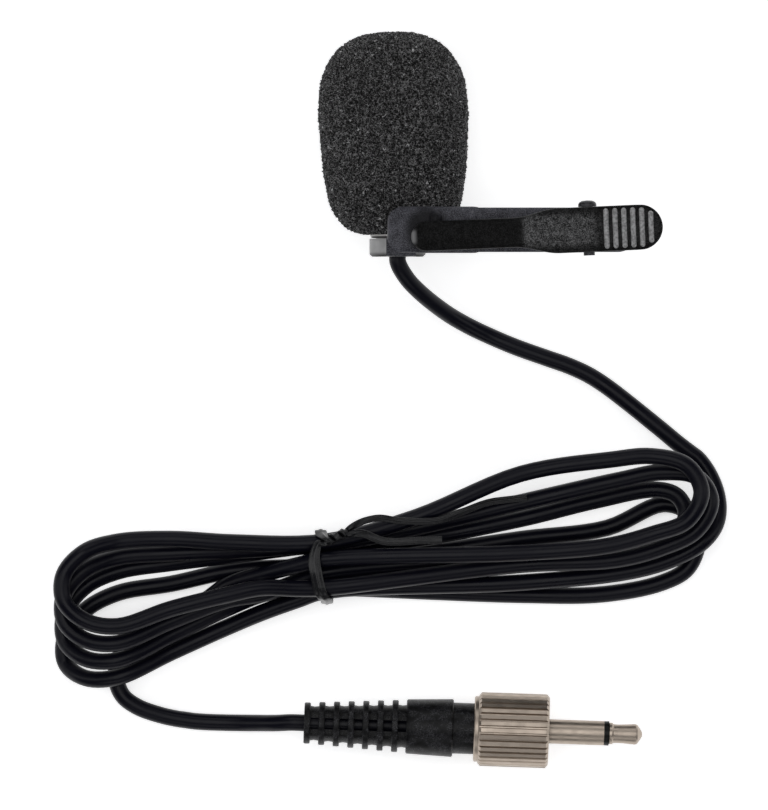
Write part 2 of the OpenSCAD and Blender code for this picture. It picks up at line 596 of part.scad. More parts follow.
// Tip: a collar, a waist that widens again, and a rounded point
module jack_tip() color(metal_color) on_plug() rotate_extrude() polygon([[0, 22], [rod_r, 22],
    [rod_r, tip_start], [1.45, tip_start], [1.55, tip_start + 0.1], [1.55, tip_start + 0.45],
    [1.36, tip_start + 0.65], [1.33, tip_start + 1.3], [1.4, tip_start + 2.6], [1.48, tip_start + 3.6],
    [1.47, tip_start + 3.85], [1.3, tip_start + 4.1], [0.8, tip_start + 4.45], [0.35, tip_start + 4.7],
    [0, tip_start + 4.76]]);

module sleeve_lug() color("silver") on_plug() tube_z(shank_s - 0.4, shank_s, 1.45, insulator_r);

module tip_lug() color("silver") on_plug() tube_z(21.5, 22.5, 1.1, rod_r);

module tip_wire() color("firebrick") on_plug() tube_z(20.6, 22, 0.35);

nut_s = 24.9;
hub_r = 4.15;
lip_r = 4.3;
lip_s = 27.05;

// Shouldered ring on the plug's body: the nut turns on its hub, between its flange and its lip
module nut_collar() color(metal_color) on_plug() difference() {
    rotate_extrude($fn = 72) polygon([[1, nut_s - 0.6], [4.55, nut_s - 0.6], [4.7, nut_s - 0.45],
        [4.7, nut_s - 0.02], [hub_r, nut_s - 0.02], [hub_r, lip_s], [lip_r, lip_s],
        [lip_r, flange_s - 0.1], [1, flange_s - 0.1]]);
    tube_z(nut_s - 2, flange_s + 1, body_r + 0.05);
}

// Straight grip teeth: flat crowns between narrow valleys
function knurl(i) = let (step = 360 / nut_teeth, a = i * step)
    [[nut_r, a - 0.28 * step], [nut_r, a + 0.28 * step], [nut_r - 0.3, a + 0.4 * step],
        [nut_r - 0.3, a + 0.6 * step]];
module locking_nut() color(metal_color) on_plug() difference() {
    intersection() {
        translate([0, 0, nut_s]) linear_extrude(nut_len)
            polygon([for (i = [0:nut_teeth - 1]) for (q = knurl(i)) q[0] * [cos(q[1]), sin(q[1])]]);
        rotate_extrude($fn = 72) polygon([[0, nut_s], [nut_r - 0.45, nut_s], [nut_r + 0.01, nut_s + 0.4],
            [nut_r + 0.01, nut_s + nut_len - 0.4], [nut_r - 0.45, nut_s + nut_len], [0, nut_s + nut_len]]);
    }
    tube_z(nut_s - 1, lip_s, hub_r + 0.05);
    tube_z(lip_s - 0.05, nut_s + nut_len + 1, lip_r + 0.05);
}

windscreen();
mic_housing();
cable_bush();
capsule_can();
capsule_sleeve();
circuit_board();
front_felt();
grille_cap();
signal_wire();
shield_wire();
rear_jaw();
pivot_pin();
torsion_spring();
front_lever();
cord_lead();
cord_hank();
cord_tail();
twist_tie();
strain_boot();
cable_end();
plug_body();
jack_sleeve();
jack_insulator();
jack_tip();
sleeve_lug();
tip_lug();
tip_wire();
nut_collar();
locking_nut();
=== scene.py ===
# %% [markdown]
# # A lapel microphone
# A small microphone under a foam windscreen sits in the ring of a spring clip. Its cable is tied in a
# flat hank and ends in a 3.5 mm plug with a locking nut. The solids come from CAD, already at their
# true size. This notebook dresses them: soft pieces are modelled again as what they are, and every
# surface gets a procedural finish.

# %% The frame
import math

import bmesh
import bpy
from mathutils import Matrix, Vector, noise


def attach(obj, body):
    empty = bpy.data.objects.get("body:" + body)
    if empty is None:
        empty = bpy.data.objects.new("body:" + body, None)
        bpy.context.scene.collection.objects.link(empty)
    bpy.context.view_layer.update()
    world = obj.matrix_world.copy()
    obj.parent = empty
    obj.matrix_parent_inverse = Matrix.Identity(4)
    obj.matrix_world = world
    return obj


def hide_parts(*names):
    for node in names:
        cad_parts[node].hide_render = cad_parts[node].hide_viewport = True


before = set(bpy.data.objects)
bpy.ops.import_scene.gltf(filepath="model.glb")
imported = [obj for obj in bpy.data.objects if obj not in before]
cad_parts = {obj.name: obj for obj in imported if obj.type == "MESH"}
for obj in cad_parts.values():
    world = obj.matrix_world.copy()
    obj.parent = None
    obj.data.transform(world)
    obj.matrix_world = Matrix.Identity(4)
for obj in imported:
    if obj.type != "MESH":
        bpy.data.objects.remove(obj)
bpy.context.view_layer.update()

# %% [markdown]
# ## Places
# All lengths below are in millimetres, as on a maker's drawing, and become metres when a piece is
# finished. Two small frames save a lot of arithmetic: one for the microphone and one for the lever's
# pin. Each is a matrix that carries a local point to its place on the table.

# %% Frames of the microphone and the lever
MM = 0.001
AXIS_HEIGHT = 10.7
PIN = Vector((27.0, 3.7, 13.0))
LEVER_SKEW = math.radians(2.4)
TIP_X, PAD_X, PAD_HALF = 1.9, 34.3, 3.2
LEVER_END = PAD_X + PAD_HALF
FOAM_R, FOAM_TOP, FOAM_MID, FOAM_LOW = 10.7, 32.0, 19.5, 3.15
FOAM_LEAN, LEAN_FROM, FOAM_ASIDE = math.radians(1.5), 7.0, 0.25
PLUG_SLANT, PLUG_FROM_MIC, PLUG_HEIGHT = math.radians(-1.98), (-13.353, -66.57), 5.3

lever_reach = PIN.x + (PAD_X - PIN.x) * math.cos(LEVER_SKEW) + PAD_HALF
foam_reach = FOAM_R + FOAM_ASIDE + math.sin(FOAM_LEAN) * (FOAM_MID - LEAN_FROM)
mic_x, mic_y = (foam_reach - lever_reach) / 2, -FOAM_TOP / 2
plug_place = Vector((mic_x + PLUG_FROM_MIC[0], mic_y + PLUG_FROM_MIC[1], PLUG_HEIGHT))

at_mic = Matrix.Translation((mic_x, mic_y, AXIS_HEIGHT))
mic_axis = at_mic @ Matrix.Rotation(-math.pi / 2, 4, "X")
at_pin = at_mic @ Matrix.Translation(PIN) @ Matrix.Rotation(LEVER_SKEW, 4, "Z")
print("microphone axis at x %.2f mm, lever reaches %.2f mm" % (mic_x, mic_x + lever_reach))

# %% [markdown]
# ## Camera
# The object is looked at from straight above through a long lens, so that it shows almost without
# perspective. The lens follows from the distance and the width of table that has to fit in the view.

# %% Camera
PICTURE_TALL, PIXELS_PER_MM = 810, 7.0
VIEW_TALL = PICTURE_TALL / PIXELS_PER_MM
VIEW_MIDDLE = (mic_x - 1.923, -37.143, 6.0)
CAMERA_AWAY = 2000.0

camera_data = bpy.data.cameras.new("table_camera")
camera_data.sensor_width = 36.0
camera_data.lens = camera_data.sensor_width * CAMERA_AWAY / VIEW_TALL
camera_data.clip_end = 20.0
camera = bpy.data.objects.new("table_camera", camera_data)
camera.location = (Vector(VIEW_MIDDLE) + Vector((0, 0, CAMERA_AWAY))) * MM
bpy.context.scene.collection.objects.link(camera)
bpy.context.scene.camera = camera
print("lens %.0f mm at %.1f m" % (camera_data.lens, CAMERA_AWAY * MM))

# %% [markdown]
# ## Cable
# The cable is one piece of PVC cord from the microphone to the plug. It is laid as it was wound: each
# loop of the hank lies about one layer above the last, runs left through the waist, round its left
# bend, right through the waist and round its right bend. The points are joined by a smooth spline of
# short steps. A curve with a round bevel is the natural tool, because it carries its section round
# every bend without a twist. It is then turned into a mesh tube, whose own box can be measured.

# %% Route of the cable
CORD_D, TABLE_GAP = 2.4, 0.02
CORD_Z = CORD_D / 2 + TABLE_GAP
LAYER, LOOPS = 3.05, 4
HANK_FROM_MIC = (-10.353, -44.14)
hank_place = Vector((mic_x + HANK_FROM_MIC[0], mic_y + HANK_FROM_MIC[1], 0))

# Stations of the runs through the waist: a row for each x, and in it a value for each loop
RUN_LEFT_X = [28, 0, -4, -9, -14, -22]
RUN_LEFT_Y = [[-2.4, -4.2, 1.2, 0.2, 1.9], [-3.6, -3.1, -0.9, -3.1, 1], [-4.9, -3.1, -2.3, -3.2, 0.1],
              [-6.7, -4.1, -4, -3.1, -1.2], [-8.8, -6.1, -4.9, -4.1, -2.8], [-12.4, -9.9, -7.9, -6.1]]
RUN_LEFT_Z = [[4.3, 1.27, 4.2, 7.1, 10], [4.2, 1.27, 4.3, 7.6, 8.1], [3.8, 1.3, 4.8, 8.1, 6.8],
              [3.1, 2, 5.9, 9.1, 5.4], [2.6, 3.7, 6.8, 9.9, 3.1], [3.1, 4.9, 7.3, 10.1]]
RUN_RIGHT_X = [-22, -13, 0, 13, 28]
RUN_RIGHT_Y = [[-2.6, 0.4, 1.8, 3.9], [-0.7, 1.5, 2.2, 3.4], [0, 3.1, 3.1, 3.5], [1.6, 3.9, 5.5, 7],
               [3.8, 6.7, 9.1, 13.2]]
RUN_RIGHT_Z = [[1.27, 3.9, 6.4, 9], [1.27, 3.2, 5.9, 8.4], [1.27, 1.27, 4.27, 7.6],
               [1.27, 2.5, 5.4, 8.4], [1.4, 4.4, 6.9, 9.6]]
# Where the tie passes under the strands they are lifted, most at its middle
TIE_LIFT, TIE_MIDDLE, TIE_SPAN = 0.6, -2, 14
# Left bends: the first loop's value, and what each next loop adds
LEFT_LOW, LEFT_START_Z, LEFT_END_Z, LEFT_SKEW = (-15.9, 2.45), (4.7, 1.9), (1.4, 2.4), (-2.2, 0.55)
LEFT_REACH, LEFT_DEEP, LEFT_TOP = 37.6, 8, [-3.9, -0.8, 1.2, 3.5]
# Right bends: reach, top, low, depth of the oval, skew, and y of the point before it
RIGHT_BEFORE, RIGHT_AFTER, AFTER_DOWN, AFTER_SUNK = 13, 13.5, 1.7, 0.1
RIGHT_BENDS = [(53.4, 8.8, -2.4, 5, 0.6, 5.4), (51.6, 10.9, 3.6, 4.2, 0.2, 9.3),
               (55.1, 13.4, 2.6, 7, 1.3, 12.3), (53.7, 15.7, 4.6, 7, 0.4, 15.2)]
HANK_IN = [(52.2, 16.2, 1.27), (53.4, 15.27, 1.27), (54.9, 13.2, 1.4), (56, 10.5, 1.8), (56.3, 8, 2.5),
           (55.8, 5.7, 3.4), (54, 3.4, 4.2), (50.5, 1.3, 4.3), (44, -0.7, 4.3)]
HANK_OUT = [(-17.5, -5.2, 1.4), (-22, -7.6, 1.27), (-26.6, -9.8, 1.27), (-29.4, -13, 1.27),
            (-29.9, -16.2, 1.27), (-29, -18.6, 1.27), (-26.9, -20.2, 1.27), (-23.7, -21.37, 1.27),
            (-21.2, -21.93, 1.27), (-20, -22.1, 1.27)]
HANK_START, BOOT_ENTRY = (50.2, 17.75, CORD_Z), 1.8
LEAD = [(0, 0, 10.7), (0, -0.5, 10.7), (0.16, -1.1, 10.62), (0.58, -1.95, 10.35), (1.58, -3.4, 9.5),
        (3.1, -4.95, 8.1), (5.4, -6.85, 5.8), (7.85, -8.53, 3.6), (10.5, -10, 2.1),
        (13.2, -11.27, 1.4), (16.9, -12.83, 1.27), (21.6, -14.5, 1.27), (24.4, -15.48, 1.27),
        (27.2, -16.75, 1.27), (29.7, -18.31, 1.27), (32.9, -20.74, 1.27), (36, -23.23, 1.27),
        (38, -24.85, 1.27)]
TAIL = [(-18.8, -22.27, 1.27), (-17, -22.4, 1.27), (-14.2, -22.49, 1.35), (-11.6, -22.52, 1.85),
        (-9.2, -22.51, 3.05), (-7, -22.48, 4.45)]


def run(xs, ys, zs, i, stations):
    """One run of loop i through the waist, lifted a little where the tie passes under it."""
    lifts = [TIE_LIFT * max(0, 1 - (abs(x - TIE_MIDDLE) / TIE_SPAN) ** 2) for x in xs]
    return [(xs[s], ys[s][i], zs[s][i] + lifts[s]) for s in range(stations)]


def of_loop(i, first_and_step):
    """Loop i's value, from the first loop's and what each next loop adds."""
    return first_and_step[0] + first_and_step[1] * i


def left_bend(i):
    """Loop i's turn at the left: half an oval that settles on the loop's layer and leaves it again."""
    low, top, level = of_loop(i, LEFT_LOW), LEFT_TOP[i], CORD_Z + LAYER * i
    start = of_loop(i, LEFT_START_Z)
    heights = [start, 0.6 * start + 0.4 * level, level, level, level, of_loop(i, LEFT_END_Z)]
    points = []
    for k, height in enumerate(heights):
        q = math.radians(-90 + 36 * k)
        points.append((LEFT_DEEP - LEFT_REACH - LEFT_DEEP * math.cos(q),
                       (low + top) / 2 + (top - low) / 2 * math.sin(q)
                       + of_loop(i, LEFT_SKEW) * math.cos(q), height))
    return points


def right_bend(i):
    """Loop i's turn at the right: half an oval on the loop's layer, with a point before and after."""
    reach, top, low, a, skew, before = RIGHT_BENDS[i]
    level = CORD_Z + LAYER * i
    turn = [(reach - a + a * math.cos(q), (top + low) / 2 + (top - low) / 2 * math.sin(q)
             + skew * math.cos(q), level) for q in map(math.radians, (90, 45, 0, -45, -90))]
    after = (reach - RIGHT_AFTER, low - AFTER_DOWN, level - (AFTER_SUNK if i else 0))
    return [(reach - RIGHT_BEFORE, before, level)] + turn + [after]


hank = list(HANK_IN)
for i in range(LOOPS):
    hank += run(RUN_LEFT_X, RUN_LEFT_Y, RUN_LEFT_Z, i, len(RUN_LEFT_X)) + left_bend(i)
    hank += run(RUN_RIGHT_X, RUN_RIGHT_Y, RUN_RIGHT_Z, i, len(RUN_RIGHT_X)) + right_bend(i)
hank += run(RUN_LEFT_X, RUN_LEFT_Y, RUN_LEFT_Z, LOOPS, len(RUN_LEFT_X) - 1) + HANK_OUT
plug_way = Vector((math.cos(PLUG_SLANT), math.sin(PLUG_SLANT), 0))
route = [Vector((mic_x, mic_y, 0)) + Vector(p) for p in LEAD]
route += [hank_place + Vector(p) for p in [HANK_START] + hank + TAIL]
route += [plug_place - BOOT_ENTRY * plug_way, plug_place]
print("cable route of", len(route), "points")


# %% A smooth spline through points
def smooth_through(points, steps):
    """Centripetal spline: passes through every point and never loops between two of them."""
    points = [2 * points[0] - points[1]] + points + [2 * points[-1] - points[-2]]
    line = []
    for p0, p1, p2, p3 in zip(points, points[1:], points[2:], points[3:]):
        t1 = (p1 - p0).length ** 0.5
        t2 = t1 + (p2 - p1).length ** 0.5
        t3 = t2 + (p3 - p2).length ** 0.5
        for k in range(steps):
            t = t1 + (t2 - t1) * k / steps
            a1 = p0.lerp(p1, t / t1)
            a2 = p1.lerp(p2, (t - t1) / (t2 - t1))
            a3 = p2.lerp(p3, (t - t2) / (t3 - t2))
            b1 = a1.lerp(a2, t / t2)
            b2 = a2.lerp(a3, (t - t1) / (t3 - t1))
            line.append(b1.lerp(b2, (t - t1) / (t2 - t1)))
    return line + [points[-2]]


SPLINE_STEPS = 7
line = smooth_through(route, SPLINE_STEPS)
for p in line:
    p.z = max(p.z, CORD_Z)
cord_length = sum((b - a).length for a, b in zip(line, line[1:]))
cord_curve = bpy.data.curves.new("cable", "CURVE")
cord_curve.dimensions = "3D"
spline = cord_curve.splines.new("POLY")
spline.points.add(len(line) - 1)
for point, place in zip(spline.points, line):
    point.co = (*(place * MM), 1)
spline.use_smooth = True
cord_curve.bevel_depth = CORD_D / 2 * MM
cord_curve.bevel_resolution = 6
cord_curve.use_fill_caps = True
drawn_cord = bpy.data.objects.new("drawn_cord", cord_curve)
cord_mesh = bpy.data.meshes.new_from_object(drawn_cord)
cord_mesh.name = "cable"
cord_mesh.materials.clear()
cord_mesh.polygons.foreach_set("use_smooth", [True] * len(cord_mesh.polygons))
cord_mesh.set_sharp_from_angle(angle=math.radians(60))
bpy.data.objects.remove(drawn_cord)
cable = bpy.data.objects.new("cable", cord_mesh)
bpy.context.scene.collection.objects.link(cable)
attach(cable, "microphone")
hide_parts("cord_lead", "cord_hank", "cord_tail")
print("cable: %.3f m on %d points" % (cord_length * MM, len(line)))

# %% [markdown]
# ## Shader maths
# A node tree is easier to read as arithmetic. A small class wraps a node's output socket, so that
# `mask * 0.5 + 0.3` adds the Math nodes by itself. Everything else goes through one method, which takes
# the node's type, its settings and what its sockets get.


# %% Finishes as expressions
class Socket:
    """The output of a node. Arithmetic on it adds Math nodes."""

    def __init__(self, finish, output):
        self.finish, self.output = finish, output

    def maths(self, operation, *values):
        """A Math node on sockets or numbers."""
        return self.finish.node("ShaderNodeMath", {"operation": operation}, dict(enumerate(values)))

    def __add__(self, other):
        return self.maths("ADD", self, other)

    def __mul__(self, other):
        return self.maths("MULTIPLY", self, other)

    def __pow__(self, other):
        return self.maths("POWER", self, other)

    def __abs__(self):
        return self.maths("ABSOLUTE", self)

    def between(self, low, high, out_low=0.0, out_high=1.0):
        """A soft step: out_low where the value is under low, out_high where it is over high."""
        return self.finish.node("ShaderNodeMapRange", {"interpolation_type": "SMOOTHSTEP"},
                                {0: self, 1: low, 2: high, 3: out_low, 4: out_high})


class Finish:
    """A material, its shader and the place on the piece that its patterns read."""

    def __init__(self, name, colour, roughness, **fixed):
        self.material = bpy.data.materials.new(name)
        self.material.use_nodes = True
        self.tree = self.material.node_tree
        self.shader = self.tree.nodes["Principled BSDF"]
        self.set(**{"Base Color": (*colour, 1), "Roughness": roughness})
        self.set(**{key.replace("_", " "): value for key, value in fixed.items()})
        self.place = self.node("ShaderNodeTexCoord", {}, {}, "Object")

    def node(self, kind, settings, inputs, output=0):
        """A new node with its settings, and a value or a link at each input named."""
        node = self.tree.nodes.new(kind)
        for key, value in settings.items():
            setattr(node, key, value)
        for key, value in inputs.items():
            self.plug_in(node.inputs[key], value)
        return Socket(self, node.outputs[output])

    def plug_in(self, socket, value):
        """A link to an input where the value is a Socket, otherwise the plain value."""
        if isinstance(value, Socket):
            self.tree.links.new(value.output, socket)
        else:
            socket.default_value = value

    def set(self, **values):
        """Values or links for the shader's own inputs."""
        for key, value in values.items():
            self.plug_in(self.shader.inputs[key], value)

    def colour(self, share, first, second):
        """Base Color that goes from one colour to another as share goes from 0 to 1."""
        self.set(**{"Base Color": self.mix(share, first, second)})

    def mix(self, share, first, second):
        """A colour between two, as share goes from 0 to 1."""
        first, second = [(*c, 1) if isinstance(c, tuple) else c for c in (first, second)]
        return self.node("ShaderNodeMix", {"data_type": "RGBA"}, {0: share, 6: first, 7: second}, 2)

    def noise(self, size_mm, detail=2.0):
        """Cloudy noise from 0 to 1 whose blotches are about size_mm across."""
        return self.node("ShaderNodeTexNoise", {}, {"Vector": self.place, "Detail": detail,
                                                    "Scale": 1 / (size_mm * MM)})

    def drift(self, low, high, size_mm, detail=2.0):
        """Roughness that drifts from low to high in blotches about size_mm across."""
        self.set(Roughness=self.noise(size_mm, detail).between(0.3, 0.7, low, high))

    def bump(self, height, deep_mm):
        """Relief whose height from 0 to 1 stands deep_mm millimetres proud."""
        self.set(Normal=self.node("ShaderNodeBump", {}, {"Height": height, "Strength": 1.0,
                                                         "Distance": deep_mm * MM}))

    def vector(self, operation, *values, output=0):
        """A Vector Math node on sockets or triples."""
        return self.node("ShaderNodeVectorMath", {"operation": operation}, dict(enumerate(values)),
                         output)

    def away_mm(self, place, axes):
        """Length in millimetres of a place's vector, of which only the axes given as 1 count."""
        return self.vector("LENGTH", self.vector("MULTIPLY", place, tuple(a / MM for a in axes)),
                           output="Value")

    def axis(self, place, letter):
        """X, Y or Z of a place."""
        return self.node("ShaderNodeSeparateXYZ", {}, {0: place}, letter)


def wear(nodes, finish):
    """Puts a finish on CAD nodes that stay in view."""
    for name in nodes:
        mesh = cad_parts[name].data
        mesh.materials.clear()
        mesh.materials.append(finish.material)
    print(finish.material.name, "on", ", ".join(nodes))


def drifting(name, colour, drift, nodes, **fixed):
    """A finish that is plain but for its roughness, which drifts, on CAD nodes."""
    finish = Finish(name, colour, drift[0], **fixed)
    finish.drift(*drift)
    wear(nodes, finish)


WELD_MM, EASED_ANGLE = 0.002, math.radians(40)


def eased(name, width_mm):
    """Rounds the sharp edges of a CAD node in view, whose split edges are welded first."""
    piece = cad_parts[name]
    piece.modifiers.new("weld", "WELD").merge_threshold = WELD_MM * MM
    bevel = piece.modifiers.new("bevel", "BEVEL")
    bevel.width, bevel.segments = width_mm * MM, 3
    bevel.limit_method, bevel.angle_limit = "ANGLE", EASED_ANGLE
    bevel.use_clamp_overlap = True


# %% [markdown]
# ## Cable jacket
# Extruded PVC is nearly black with a faint blue cast. Its gloss is uneven: handling leaves dull
# patches, so the roughness drifts slowly and a shallow relief breaks up the long highlights.

# %% PVC jacket
pvc = Finish("cable_pvc", (0.004, 0.004, 0.005), 0.34, Specular_IOR_Level=0.17)
patches = pvc.noise(5.0, 3.0)
pvc.set(Roughness=patches.between(0.3, 0.75, 0.27, 0.4))
pvc.colour(patches, (0.002, 0.002, 0.0058), (0.0042, 0.0042, 0.009))
pvc.bump(pvc.noise(0.5), 0.012)
cable.data.materials.append(pvc.material)
wear(["cable_end"], pvc)

# %% [markdown]
# ## Making pieces
# Three helpers cover most shapes of a small turned and moulded product. `spun` turns a profile round
# an axis as a lathe does. `drawn` pulls a closed outline through a row of stations, as clay through a
# changing hole. `finished` brings the millimetre mesh to its place in metres and shades it.

# %% Lathe, loft and finishing
SAME_SPOT = 1e-4


def spun(bm, profile, steps):
    """Turns (radius, height) points about z. The profile starts and ends on the axis."""
    verts = [bm.verts.new((r, 0, h)) for r, h in profile]
    edges = [bm.edges.new(pair) for pair in zip(verts, verts[1:])]
    bmesh.ops.spin(bm, geom=verts + edges, cent=(0, 0, 0), axis=(0, 0, 1), angle=2 * math.pi,
                   steps=steps, use_merge=True)
    bmesh.ops.remove_doubles(bm, verts=bm.verts, dist=SAME_SPOT)
    bmesh.ops.recalc_face_normals(bm, faces=bm.faces)


def drawn(bm, rings):
    """Extrudes the first ring's edges from station to station, and closes both ends."""
    verts = [bm.verts.new(p) for p in rings[0]]
    bm.faces.new(verts)
    for ring in rings[1:]:
        edges = [bm.edges.get((a, b)) for a, b in zip(verts, verts[1:] + verts[:1])]
        made = bmesh.ops.extrude_edge_only(bm, edges=edges)["geom"]
        new = {v.co.copy().freeze(): v for v in made if isinstance(v, bmesh.types.BMVert)}
        verts = [new[v.co.copy().freeze()] for v in verts]
        for v, p in zip(verts, ring):
            v.co = p
    bm.faces.new(verts)
    bmesh.ops.recalc_face_normals(bm, faces=bm.faces)


def finished(bm, name, place, finish, body, stands_for, sharp):
    """Carries a mesh in millimetres to its place in metres and shades it smooth between sharp edges."""
    bmesh.ops.transform(bm, matrix=Matrix.Scale(MM, 4) @ place, verts=bm.verts)
    mesh = bpy.data.meshes.new(name)
    bm.to_mesh(mesh)
    bm.free()
    mesh.polygons.foreach_set("use_smooth", [True] * len(mesh.polygons))
    mesh.set_sharp_from_angle(angle=math.radians(sharp))
    mesh.materials.append(finish.material)
    piece = bpy.data.objects.new(name, mesh)
    bpy.context.scene.collection.objects.link(piece)
    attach(piece, body)
    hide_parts(*stands_for)
    print("%s: %d faces, rides on %s" % (name, len(mesh.polygons), body))
    return piece


# %% [markdown]
# ## Windscreen
# The windscreen is open-cell foam: a web of fine struts round pores about half a millimetre across.
# Its outline is furry because cut struts stand out at the skin. A smooth ball with a bump map would
# give a clean outline, so the skin here is a fine mesh whose vertices move: out at the struts and in
# at the pores. The same pore pattern is kept on the mesh as an attribute, so that the colour, with
# painted shade in the pores and small painted glints on the struts, and the shape agree.

# %% Foam shape
FOAM_BORE, FOAM_BORE_TOP = 3.95, 13.6
FOAM_TAPER, DOME_POWER, SIDE_POWER = 0.09, 2 / 2.65, 2 / 4.2
SKIN_STEP, SKIN_TURNS = 0.18, 370
PORE, PORE_DEEP, STRUT_LEVEL = 0.52, 0.42, 0.95
FRAY_DEEP, FRAY_LEAST = 0.5, -0.3
FINE_FRAY, FINE_SHARE, BROAD_FRAY, BROAD_SHARE = 0.24, 0.7, 3.0, 0.15


def foam_profile():
    """Half outline of the windscreen: a flattened dome above, nearly straight sides below."""
    outline = []
    for k in range(91):
        a = math.radians(90 - k)
        outline.append((FOAM_R * math.cos(a) ** DOME_POWER,
                        FOAM_MID + (FOAM_TOP - FOAM_MID) * math.sin(a) ** DOME_POWER))
    for k in range(1, 91):
        a = math.radians(k)
        t = math.sin(a) ** SIDE_POWER
        outline.append((FOAM_R * (1 - FOAM_TAPER * t) * math.cos(a) ** SIDE_POWER,
                        FOAM_MID - (FOAM_MID - FOAM_LOW) * t))
    outline = [p for p in outline if p[1] > FOAM_LOW + 1e-6 or p[0] > FOAM_BORE]
    return [Vector((r, 0, h)) for r, h in outline]


def evenly(points, step):
    """The same outline again with points one step apart."""
    even, left = [points[0]], step
    for a, b in zip(points, points[1:]):
        span = (b - a).length
        at = left
        while at < span:
            even.append(a.lerp(b, at / span))
            at += step
        left = at - span
    return even + [points[-1]]


outline = [(p.x, p.z) for p in evenly(foam_profile(), SKIN_STEP)]
outline[0] = (0.0, FOAM_TOP)
print("foam outline of", len(outline), "points")

foam_bm = bmesh.new()
spun(foam_bm, outline + [(FOAM_BORE, FOAM_LOW), (FOAM_BORE, FOAM_BORE_TOP), (0.0, FOAM_BORE_TOP)],
     SKIN_TURNS)


def pore_at(p):
    """0 in the middle of a pore and 1 on the struts between pores."""
    near = noise.voronoi(p / PORE)[0]
    return min(1.0, near[0] / max(near[1], 1e-6))


foam_lean = (Matrix.Translation((-FOAM_ASIDE, 0, LEAN_FROM)) @ Matrix.Rotation(-FOAM_LEAN, 4, "Y")
             @ Matrix.Translation((0, 0, -LEAN_FROM)))
strut = []
for v in foam_bm.verts:
    on_skin = v.co.xy.length > FOAM_BORE + 0.1 or v.co.z > FOAM_BORE_TOP + 0.5
    share = pore_at(v.co)
    strut.append(share if on_skin else 0.5)
    if on_skin:
        v.normal_update()
        fray = (noise.noise(v.co / FINE_FRAY) * FINE_SHARE
                + noise.noise(v.co / BROAD_FRAY) * BROAD_SHARE)
        v.co += v.normal * (PORE_DEEP * (share ** 2 - STRUT_LEVEL)
                            + FRAY_DEEP * max(FRAY_LEAST, fray))
        v.co = foam_lean @ v.co
print("foam skin of", len(foam_bm.verts), "vertices")

# %% Foam finish
# Size of the foam's cells, and of the cells that hold the painted glints
WEB_MM, GLINT_MM = 0.36, 0.34
foam_finish = Finish("foam", (0.03, 0.03, 0.031), 0.9, Specular_IOR_Level=0.2)
web = foam_finish.node("ShaderNodeTexVoronoi", {"feature": "DISTANCE_TO_EDGE"},
                       {"Vector": foam_finish.place, "Scale": 1 / (WEB_MM * MM)}, "Distance")
kept = foam_finish.node("ShaderNodeAttribute", {"attribute_name": "strut"}, {}, "Fac")
grain = foam_finish.noise(0.16)
# Painted shade: the pores are painted nearly black and the struts paler; the same mask is the struts'
# relief
struts_and_pore_shade = web.between(0.03, 0.22, 1.0, 0.0) * 0.5 + kept.between(0.45, 0.98) * 0.6
# Painted glints: a few near-white spots on the struts stand in for the sparkle of light on them
glint_cells = foam_finish.node("ShaderNodeTexVoronoi", {}, {"Vector": foam_finish.place,
                                                      "Scale": 1 / (GLINT_MM * MM)}, "Color")
bright = foam_finish.node("ShaderNodeSeparateColor", {}, {0: glint_cells}, "Red").between(0.95, 0.99)
clump = foam_finish.noise(0.75)
tone = (struts_and_pore_shade * grain.between(0.34, 0.66, 0.02, 1.25)
        * clump.between(0.32, 0.68, 0.72, 1.26)) ** 1.7
spark = bright * struts_and_pore_shade * grain.between(0.44, 0.54)
foam_colour = foam_finish.mix(tone, (0.004, 0.004, 0.004), (0.285, 0.283, 0.285))
foam_finish.colour(spark, foam_colour, (0.8, 0.8, 0.81))
foam_finish.bump(struts_and_pore_shade + grain * 0.5, 0.2)

windscreen = finished(foam_bm, "foam_windscreen", mic_axis, foam_finish, "windscreen",
                      ["windscreen"], sharp=180)
strut_share = windscreen.data.attributes.new("strut", "FLOAT", "POINT")
strut_share.data.foreach_set("value", strut)

# %% [markdown]
# ## Twist tie
# The tie is one ribbon of PVC with a soft wire down its middle. It goes round the waist of the hank,
# and its two ends are wound round each other. A flat section drawn along the route, with the wire as
# a ridge down its middle, shows the twist far better than a bent box.

# %% Route of the tie
TIE_OFF = 1.56
# Stations of the turn round the waist: x, y, z and the angle that faces out of it
TIE_TURNS = [(-0.75, 3.3, 8.45, 88), (-1.3, 2.3, 8.5, 90), (-1.5, 0.8, 8.6, 90), (-1.3, -0.8, 8.65, 90),
             (-1, -2.2, 8.5, 93), (-0.6, -3.2, 8.35, 112), (-0.2, -3.2, 8.3, 145),
             (0.1, -3.2, 8.25, 175), (0.3, -3.75, 4.85, 180), (0.3, -3.15, 1.9, 205),
             (0.2, -3.15, 1.9, 240), (0.1, -3.1, 1.9, 268), (-0.1, 0, 1.9, 270), (-0.3, 3.15, 1.9, 272),
             (-0.4, 3.15, 1.9, 305), (-0.5, 3.2, 1.9, 340), (-0.6, 3.2, 4.87, 360),
             (-0.6, 3.5, 8.2, 365), (-0.5, 3.5, 8.2, 405)]
TIE_LONG = [(28.8, 9.8, 8.9), (26, 9.5, 8.9), (23.3, 9.1, 8.95), (19.7, 7.8, 9.2), (16.4, 6.6, 9.7),
            (13.6, 6.4, 10.05), (10.2, 6.55, 10.15), (7.9, 6.9, 10.6), (6, 6.6, 10.95),
            (4.7, 6.1, 10.8)]
TIE_SHORT = [(4.6, 4.75, 10.5), (6, 4.5, 10.2), (6.9, 4.1, 10.15), (8.3, 3.6, 10.2), (10.2, 3.5, 10.2),
             (13.8, 3.7, 10.15), (16.7, 3.7, 10.1)]
KNOT_START, KNOT_RUN = Vector((0.2, 3.6, 10.5)), Vector((3.1, 1.3, 0))
KNOT_TURNS, KNOT_STEPS, KNOT_PHASE, KNOT_R = 1.25, 10, 225, 0.5
FLAT = Vector((0, 0, 1))
